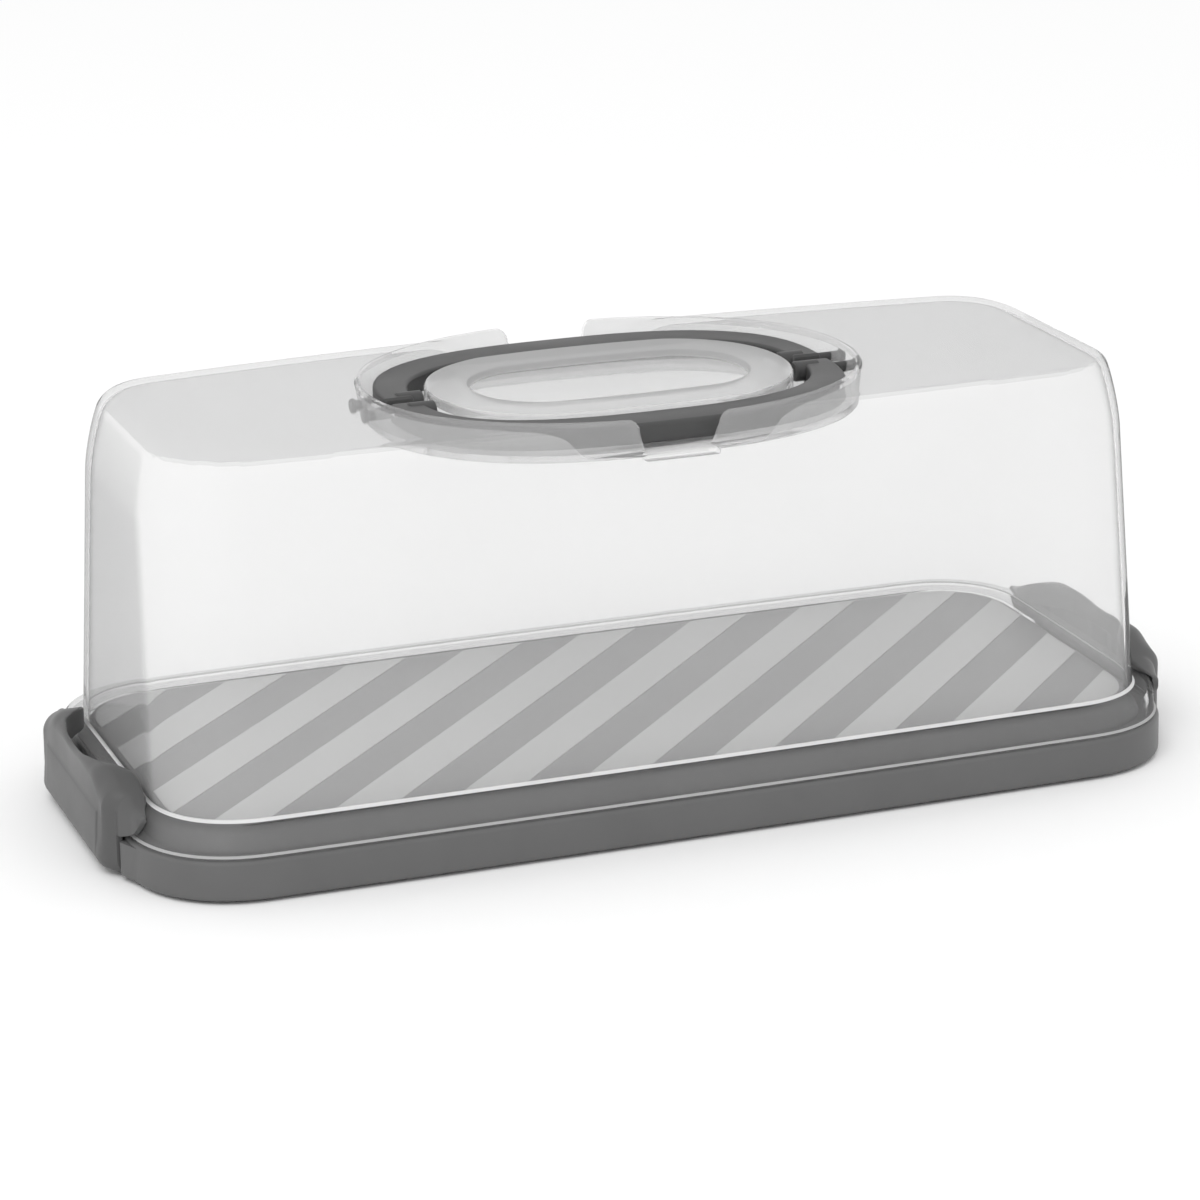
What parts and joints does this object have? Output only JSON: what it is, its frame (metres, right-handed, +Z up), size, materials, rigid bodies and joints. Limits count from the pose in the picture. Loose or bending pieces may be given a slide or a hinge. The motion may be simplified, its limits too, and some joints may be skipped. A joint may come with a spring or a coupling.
{
  "type": "cake carrier",
  "caption": "Loaf-shaped cake carrier: striped tray, clear lift-off lid, end clips that swing out and folding half-oval handles in a recess of the lid.",
  "frame": {"origin": "middle of the underside, on the surface that the feet stand on", "axes": "+X along the length to the right-hand clip, +Z up, the front faces -Y"},
  "size_m": [0.3724, 0.1588, 0.1364],
  "materials": {
    "tray_grey": "satin",
    "stripe_grey": "satin",
    "foot_rubber": "matt",
    "lid_clear": "clear, glossy",
    "handle_grey": "satin",
    "clip_grey": "satin"
  },
  "bodies": {
    "tray": {"tray": "tray_grey", "floor_stripes": "stripe_grey", "foot_front_left": "foot_rubber", "foot_front_right": "foot_rubber", "foot_back_left": "foot_rubber", "foot_back_right": "foot_rubber"},
    "lid": {"lid": "lid_clear"},
    "handle_front": {"handle_front": "handle_grey"},
    "handle_back": {"handle_back": "handle_grey"},
    "clip_left": {"clip_left": "clip_grey"},
    "clip_right": {"clip_right": "clip_grey"}
  },
  "joints": [
    {"name": "lid_lift", "type": "slide", "parent": "tray", "child": "lid", "axis": [0, 0, 1], "range_m": [0, 0.15]},
    {"name": "handle_front_fold", "type": "hinge", "parent": "lid", "child": "handle_front", "pos_m": [0, -0.0065, 0.1301], "axis": [-1, 0, 0], "range_deg": [0, 90]},
    {"name": "handle_back_fold", "type": "hinge", "parent": "lid", "child": "handle_back", "pos_m": [0, 0.0065, 0.1301], "axis": [1, 0, 0], "range_deg": [0, 90]},
    {"name": "clip_left_turn", "type": "hinge", "parent": "tray", "child": "clip_left", "pos_m": [-0.1784, 0, 0.0086], "axis": [0, -1, 0], "range_deg": [0, 90]},
    {"name": "clip_right_turn", "type": "hinge", "parent": "tray", "child": "clip_right", "pos_m": [0.1784, 0, 0.0086], "axis": [0, 1, 0], "range_deg": [0, 90]}
  ]
}
